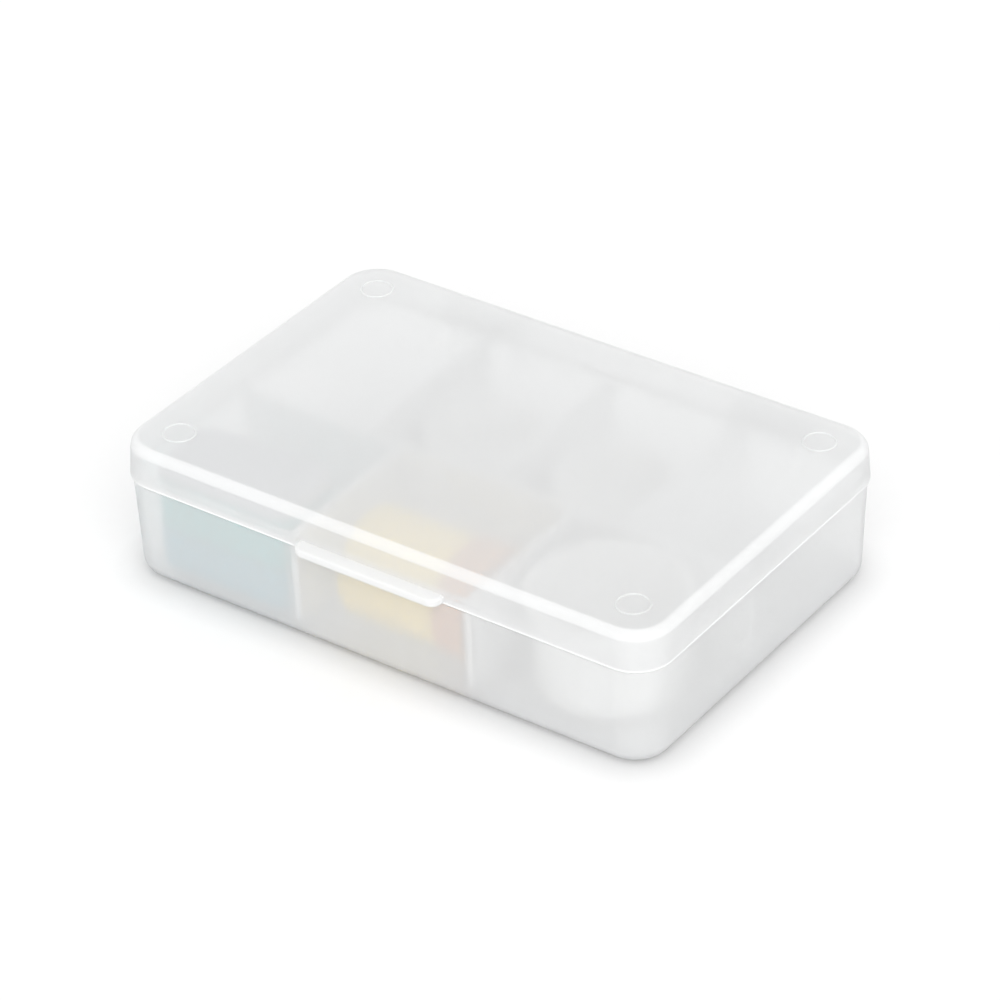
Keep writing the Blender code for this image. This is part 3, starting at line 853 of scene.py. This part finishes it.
def hinge_lug(sizes, x):
    """A hinge lug: a round end, and a gusset that runs down the tray's back wall."""
    outer = sizes.bar_radius + sizes.gap + sizes.hook_wall
    half = sizes.lug_width / 2
    wall_y = tray_half(sizes, HINGE.z)[1] - SINK * 3
    reach = HINGE.y - wall_y
    tangent = outer / math.sqrt(2.0)
    round_end = drum((x, HINGE.y, HINGE.z), outer, sizes.lug_width, LYING, sides=48)
    foot = -reach - outer * math.sqrt(2.0)
    gusset = block((x - half, wall_y, HINGE.z + foot), (x + half, HINGE.y + tangent, HINGE.z))
    edit(gusset)
    for z, shift in ((HINGE.z + foot, {"z": -foot - tangent}), (HINGE.z, {"y": -tangent})):
        pick("EDGE", lambda a, b, z=z: all(near(p.z, z) and p.y > HINGE.y for p in (a, b)))
        move(**shift)
    done()
    combine(round_end, gusset)
    return round_end


class LENSCASE_OT_tray(bpy.types.Operator):
    """Models the frosted tray with its lip, guide ribs and hinge lugs."""

    bl_idname = "lens_case.tray"
    bl_label = "Tray"

    def execute(self, context):
        sizes = settings().sizes
        tray = tray_body(sizes)
        rib_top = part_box("long_divider")[1].z
        ribs = []
        for side in (-1, 1):
            for y in rib_pair(sizes, node_middle("long_divider").y):
                ribs.append(guide_rib(sizes, True, side, y, rib_top))
        for side, row in ROWS.items():
            for node in row:
                for x in rib_pair(sizes, node_middle(node).x):
                    ribs.append(guide_rib(sizes, False, side, x, rib_top))
        combine(tray, together(ribs))
        lug_offset = sizes.hook_width / 2 + sizes.gap + sizes.lug_width / 2
        for side in (-1, 1):
            station = side * sizes.hinge_spacing / 2
            for end in (-1, 1):
                combine(tray, hinge_lug(sizes, station + end * lug_offset))
            middle = (station, HINGE.y, HINGE.z)
            combine(tray, drum(middle, sizes.bar_radius, 2 * lug_offset, LYING, sides=40))
        look = settings().colours
        clear, blur, bend = look.tray_clear, look.tray_blur, look.tray_bend
        # Painted shade: greyer plastic at the tray's floor, fading into the frosted colour above it.
        material = frosted("Frosted tray plastic", look.tray_foot_shade, clear, blur, bend)
        tint_above(material, look.frost, sizes.floor, sizes.floor + 2 * sizes.tray_edge)
        hand_over(tray, "frosted_tray", "tray", material)
        inside = frosted("Polished tray inside plastic", look.frost, look.inside_clear, blur, bend)
        paint(tray, inside, sizes, looks_inwards)
        return {"FINISHED"}


# The dividers.


def divider_plate(node, sizes):
    """A thin plate of a divider's box, with its wall ends leaning and its lower corners cut."""
    low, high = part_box(node)
    along_x = high.x - low.x > high.y - low.y
    axis = 0 if along_x else 1
    middle = node_middle(node)
    half = sizes.divider / 2
    if along_x:
        plate = block((low.x, middle.y - half, low.z), (high.x, middle.y + half, high.z))
    else:
        plate = block((middle.x - half, low.y, low.z), (middle.x + half, high.y, high.z))
    lean = math.tan(sizes.tray_draft) * (high.z - low.z)
    heel = sizes.tray_edge - tray_wall(sizes)
    inner_wall = tray_half(sizes, sizes.floor, tray_wall(sizes))[axis] * AT_WALL
    edit(plate)
    for side in (-1, 1):
        end = low[axis] if side < 0 else high[axis]
        if abs(end) < inner_wall:
            continue
        pick("EDGE", lambda a, b: all(near(p.z, low.z) and near(p[axis], end) for p in (a, b)))
        move(x=-side * lean if along_x else 0.0, y=0.0 if along_x else -side * lean)
        foot = end - side * lean
        pick("EDGE", lambda a, b: all(near(p.z, low.z) and near(p[axis], foot) for p in (a, b)))
        round_off(heel, steps=5)
    done()
    return plate


def divider_ribs(sizes):
    """Guide ribs on both faces of the long divider."""
    low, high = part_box("long_divider")
    middle = node_middle("long_divider").y
    half = sizes.divider / 2
    ribs = []
    for side, row in ROWS.items():
        faces = sorted((middle + side * (half - SINK), middle + side * (half + sizes.rib_depth)))
        for node in row:
            for x in rib_pair(sizes, node_middle(node).x):
                corner = (x - sizes.rib_width / 2, faces[0], low.z + SINK)
                ribs.append(block(corner, (x + sizes.rib_width / 2, faces[1], high.z - SINK)))
    return together(ribs)


class LENSCASE_OT_dividers(bpy.types.Operator):
    """Models the drop-in dividers."""

    bl_idname = "lens_case.dividers"
    bl_label = "Dividers"

    def execute(self, context):
        sizes = settings().sizes
        look = settings().colours
        clear, blur, bend = look.divider_clear, look.tray_blur, look.tray_bend
        material = frosted("Frosted divider plastic", look.frost, clear, blur, bend)
        for node in frame["nodes"]:
            if "divider" not in node:
                continue
            plate = divider_plate(node, sizes)
            if node == "long_divider":
                combine(plate, divider_ribs(sizes))
            hand_over(plate, f"{node}_plate", node, material)
        return {"FINISHED"}


# The loose things.


def pod_shell(low, high, corner, edge, edge_at_top):
    """A rounded block for one half of the pod."""
    shell = block(low, high)
    edit(shell)
    pick("EDGE", lambda a, b: not near(a.z, b.z))
    round_off(corner, steps=10)
    pick_level(high.z if edge_at_top else low.z)
    round_off(edge, steps=6)
    return shell


class LENSCASE_OT_pod(bpy.types.Operator):
    """Models the blue-green pod and its push-on cap."""

    bl_idname = "lens_case.pod"
    bl_label = "Pod"

    def execute(self, context):
        look, things = settings().colours, settings().things
        wall, corner, edge = things.pod_wall, things.pod_corner, things.pod_edge
        cap_low, cap_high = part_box("lens_pod_cap")
        low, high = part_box("lens_pod")
        gap = settings().sizes.gap
        split = cap_low.z - gap
        body = pod_shell(low, Vector((high.x, high.y, split)), corner, edge, False)
        pick_face(split)
        inset(wall + gap)
        extrude(z=high.z - split)
        pick_level(high.z)
        round_off(gap, steps=3)
        done()
        body_finish = plastic(
            "Blue pod plastic", look.pod_body, darker=0.9, rough=0.38, rough_spread=0.05, grain=0.2
        )
        hand_over(body, "pod_body", "lens_pod", body_finish)
        cap = pod_shell(cap_low, cap_high, corner, edge, True)
        pick_face(cap_low.z)
        inset(wall)
        extrude(z=high.z + gap - cap_low.z)
        done()
        cap_finish = plastic(
            "Teal cap plastic", look.pod_cap, darker=0.9, rough=0.38, rough_spread=0.05, grain=0.2
        )
        tint_above(cap_finish, look.pod_top, cap_high.z - edge * 2, cap_high.z - edge)
        hand_over(cap, "pod_cap", "lens_pod_cap", cap_finish)
        return {"FINISHED"}


def along_x_drum(low, high, sides):
    """A round drum lying along X in a box."""
    return drum((low + high) / 2, (high.z - low.z) / 2, high.x - low.x, LYING, sides)


def pick_end(x):
    """Selects the flat end of a lying drum."""
    pick("FACE", lambda face: abs(face.normal.x) > SQUARE_ON and near(face.calc_center_median().x, x))


def pick_rim(x):
    """Selects the edges of a lying drum's end."""
    pick("EDGE", lambda a, b: near(a.x, x) and near(b.x, x))


class LENSCASE_OT_vial(bpy.types.Operator):
    """Models the amber vial that lies on its side, and its fluted cap."""

    bl_idname = "lens_case.vial"
    bl_label = "Vial"

    def execute(self, context):
        look, things = settings().colours, settings().things
        gap = settings().sizes.gap
        neck, edge = things.neck, things.vial_edge
        cap_low, cap_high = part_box("drops_vial_cap")
        low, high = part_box("drops_vial")
        shoulder = cap_low.x - gap
        radius = (high.z - low.z) / 2
        body = along_x_drum(low, Vector((shoulder, high.y, high.z)), sides=96)
        edit(body)
        pick_end(shoulder)
        inset(radius - neck)
        extrude(x=high.x - shoulder)
        for x in (low.x, shoulder):
            pick("EDGE", lambda a, b, x=x: near(a.x, x) and near(b.x, x) and on_round(a, low, high))
            round_off(edge, steps=6)
        done()
        amber = plastic(
            "Amber vial plastic", look.amber, darker=0.92, rough=0.28, rough_spread=0.04, grain=0.1
        )
        hand_over(body, "vial_body", "drops_vial", amber)
        cap = along_x_drum(cap_low, cap_high, FACES_PER_FLUTE * things.flutes)
        edit(cap)
        pick_end(cap_low.x)
        inset((cap_high.z - cap_low.z) / 2 - neck - gap)
        extrude(x=cap_high.x - things.vial_wall - cap_low.x)
        pick_rim(cap_high.x)
        round_off(edge / 2, steps=4)
        flute_cap(cap_low, cap_high, things)
        done()
        brown = plastic(
            "Brown cap plastic", look.brown, darker=0.9, rough=0.36, rough_spread=0.05, grain=0.2
        )
        hand_over(cap, "vial_cap", "drops_vial_cap", brown)
        return {"FINISHED"}


def on_round(point, low, high):
    """Whether a point lies on the outside of a lying drum."""
    middle = (low + high) / 2
    radius = (high.z - low.z) / 2
    return math.hypot(point.y - middle.y, point.z - middle.z) > radius - ROUND_SLACK


def flute_cap(low, high, things):
    """Sinks every third side face of the cap a little, for grip."""
    middle = (low + high) / 2
    sides = FACES_PER_FLUTE * things.flutes

    def fluted(face):
        centre = face.calc_center_median()
        if abs(face.normal.x) > 0.1 or not on_round(centre, low, high):
            return False
        turn = math.atan2(centre.z - middle.z, centre.y - middle.y) / math.tau
        return int(turn * sides + sides + 0.5) % FACES_PER_FLUTE == 0

    pick("FACE", fluted)
    bpy.ops.mesh.inset(thickness=things.flute_rim, use_individual=True)
    sunk = 1 - things.flute_depth / ((high.z - low.z) / 2)
    resize(FLUTE_LENGTH, sunk, sunk, middle)


class LENSCASE_OT_cups(bpy.types.Operator):
    """Models the open white cups."""

    bl_idname = "lens_case.cups"
    bl_label = "Cups"

    def execute(self, context):
        look, things = settings().colours, settings().things
        wall, floor = things.cup_wall, things.cup_floor
        rim, edge = things.cup_rim, things.cup_edge
        lean = math.tan(things.cup_lean)
        white = plastic(
            "White cup plastic", look.white, darker=0.96, rough=0.30, rough_spread=0.04, grain=0.1
        )
        for node in ("rinse_cup", "lens_cup_left", "lens_cup_right"):
            low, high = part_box(node)
            middle = (low + high) / 2
            radius, height = (high.x - low.x) / 2, high.z - low.z
            rim_foot = high.z - wall
            side = radius - rim
            cup = drum((middle.x, middle.y, (low.z + rim_foot) / 2), side, height - wall)
            edit(cup)
            pick_face(low.z)
            shrink = 1 - lean * (height - wall) / side
            resize(shrink, shrink, 1.0, (middle.x, middle.y, low.z))
            pick_level(low.z)
            round_off(edge, steps=6)
            pick_face(rim_foot)
            extrude()
            resize(radius / side, radius / side, 1.0, (middle.x, middle.y, rim_foot))
            extrude(z=wall)
            inset(rim + wall)
            extrude(z=low.z + floor - high.z)
            inner = radius - rim - wall
            shrink = 1 - lean * (height - floor) / inner
            resize(shrink, shrink, 1.0, (middle.x, middle.y, low.z + floor))
            pick_level(low.z + floor)
            round_off(edge, steps=6)
            pick_level(high.z)
            round_off(rim * CUP_RIM_ROUNDING, steps=3)
            done()
            hand_over(cup, f"{node}_white", node, white)
        return {"FINISHED"}


# The stage.


def seen_directly(nodes, links):
    """1 where the camera, a reflection or a look through the plastic meets a surface, 0 elsewhere."""
    path = nodes.new("ShaderNodeLightPath")
    seen = path.outputs["Is Camera Ray"]
    for ray in ("Is Glossy Ray", "Is Transmission Ray"):
        seen = math_node(nodes, links, "MAXIMUM", seen, path.outputs[ray])
    return seen


def floor_material(look):
    """Pale floor that stays white to the camera away from the case, keeps its shadow, and has a painted
    contact shadow that darkens its colour near the case's edge.
    """
    material = bpy.data.materials.new("Pale floor")
    material.use_nodes = True
    nodes, links = material.node_tree.nodes, material.node_tree.links
    shader = nodes["Principled BSDF"]
    shader.inputs["Roughness"].default_value = 0.9
    shader.inputs["Specular IOR Level"].default_value = 0.0
    noise = nodes.new("ShaderNodeTexNoise")
    noise.inputs["Scale"].default_value = 8.0
    place = nodes.new("ShaderNodeTexCoord")
    tones = nodes.new("ShaderNodeValToRGB")
    tones.color_ramp.elements[0].color = (*(value * FLOOR_CLOUD for value in look.floor), 1.0)
    tones.color_ramp.elements[1].color = (*look.floor, 1.0)
    links.new(place.outputs["Object"], noise.inputs["Vector"])
    links.new(noise.outputs["Fac"], tones.inputs["Fac"])
    # Painted shadow: ambient occlusion darkens the floor's colour near the case, by the contact depth.
    contact = nodes.new("ShaderNodeAmbientOcclusion")
    contact.samples = 4
    contact.inputs["Distance"].default_value = look.contact
    links.new(tones.outputs["Color"], contact.inputs["Color"])
    depth = look.contact_depth
    shaded = colour_mix(nodes, links, depth, tones.outputs["Color"], contact.outputs["Color"])
    links.new(shaded, shader.inputs["Base Color"])
    glow = nodes.new("ShaderNodeEmission")
    seen = seen_directly(nodes, links)
    links.new(math_node(nodes, links, "MULTIPLY", seen, look.lift), glow.inputs["Strength"])
    both = nodes.new("ShaderNodeAddShader")
    links.new(shader.outputs["BSDF"], both.inputs[0])
    links.new(glow.outputs["Emission"], both.inputs[1])
    links.new(both.outputs["Shader"], nodes["Material Output"].inputs["Surface"])
    return material


def white_world(strength):
    """Even light all round, and plain white where the camera looks past the floor."""
    world = bpy.data.worlds.new("Studio white")
    bpy.context.scene.world = world
    world.use_nodes = True
    nodes, links = world.node_tree.nodes, world.node_tree.links
    soft = nodes["Background"]
    soft.inputs["Color"].default_value = (1.0, 1.0, 1.0, 1.0)
    soft.inputs["Strength"].default_value = strength
    white = nodes.new("ShaderNodeBackground")
    white.inputs["Color"].default_value = (1.0, 1.0, 1.0, 1.0)
    white.inputs["Strength"].default_value = 1.0
    mix = nodes.new("ShaderNodeMixShader")
    links.new(seen_directly(nodes, links), mix.inputs["Fac"])
    links.new(soft.outputs["Background"], mix.inputs[1])
    links.new(white.outputs["Background"], mix.inputs[2])
    links.new(mix.outputs["Shader"], nodes["World Output"].inputs["Surface"])


def soft_light(name, strength, spread, place):
    """A broad, even light that shines from a direction on the whole stage."""
    data = bpy.data.lights.new(name, "SUN")
    data.energy = strength
    data.angle = spread
    obj = bpy.data.objects.new(name, data)
    bpy.context.scene.collection.objects.link(obj)
    obj.location = place
    obj.rotation_mode = "QUATERNION"
    obj.rotation_quaternion = Vector(place).to_track_quat("Z", "Y")


def photo_camera(look):
    """The camera at the photograph's place, with no shift and no depth of field."""
    data = bpy.data.cameras.new("Photo camera")
    data.lens = look.lens
    data.sensor_width = 36.0
    data.clip_start = 0.01
    data.clip_end = 50.0
    camera = bpy.data.objects.new("Photo camera", data)
    bpy.context.scene.collection.objects.link(camera)
    flat = math.cos(look.elevation)
    back = Vector(
        (math.sin(look.azimuth) * flat, -math.cos(look.azimuth) * flat, math.sin(look.elevation))
    )
    level = Vector((math.cos(look.azimuth), math.sin(look.azimuth), 0.0))
    upright = back.cross(level)
    turn_cos, turn_sin = math.cos(look.roll), math.sin(look.roll)
    right = level * turn_cos + upright * turn_sin
    up = upright * turn_cos - level * turn_sin
    place = right * look.side + up * look.rise + back * look.distance
    camera.matrix_world = Matrix.Translation(place) @ Matrix((right, up, back)).transposed().to_4x4()
    bpy.context.scene.camera = camera


class LENSCASE_OT_stage(bpy.types.Operator):
    """Sets the pale floor, the soft light and the camera."""

    bl_idname = "lens_case.stage"
    bl_label = "Stage"

    def execute(self, context):
        look = settings().stage
        floor = start(bpy.ops.mesh.primitive_plane_add, size=FLOOR_SIZE, location=(0.0, 0.0, -FLOOR_DROP))
        floor.name = "floor"
        floor.data.materials.append(floor_material(look))
        white_world(look.sky)
        soft_light("Front light", look.front, look.spread, look.light_from)
        photo_camera(look)
        context.scene.view_settings.view_transform = "Standard"
        return {"FINISHED"}


OPERATORS = (
    LENSCASE_OT_tray,
    LENSCASE_OT_lid,
    LENSCASE_OT_dividers,
    LENSCASE_OT_pod,
    LENSCASE_OT_vial,
    LENSCASE_OT_cups,
    LENSCASE_OT_stage,
)


class LENSCASE_PT_panel(bpy.types.Panel):
    """Lists the pieces of the lens case."""

    bl_label = "Lens case"
    bl_space_type = "VIEW_3D"
    bl_region_type = "UI"
    bl_category = "Lens case"

    def draw(self, context):
        for operator in OPERATORS:
            self.layout.operator(operator.bl_idname)


CLASSES = (CaseSizes, ThingSizes, CaseColours, CaseStage, LensCase, *OPERATORS, LENSCASE_PT_panel)


def register():
    for cls in CLASSES:
        bpy.utils.register_class(cls)
    bpy.types.Scene.lens_case = PointerProperty(type=LensCase)


def unregister():
    del bpy.types.Scene.lens_case
    for cls in reversed(CLASSES):
        bpy.utils.unregister_class(cls)


def main():
    register()
    bpy.ops.lens_case.tray()
    bpy.ops.lens_case.lid()
    bpy.ops.lens_case.dividers()
    bpy.ops.lens_case.pod()
    bpy.ops.lens_case.vial()
    bpy.ops.lens_case.cups()
    bpy.ops.lens_case.stage()


if __name__ == "__main__":
    main()
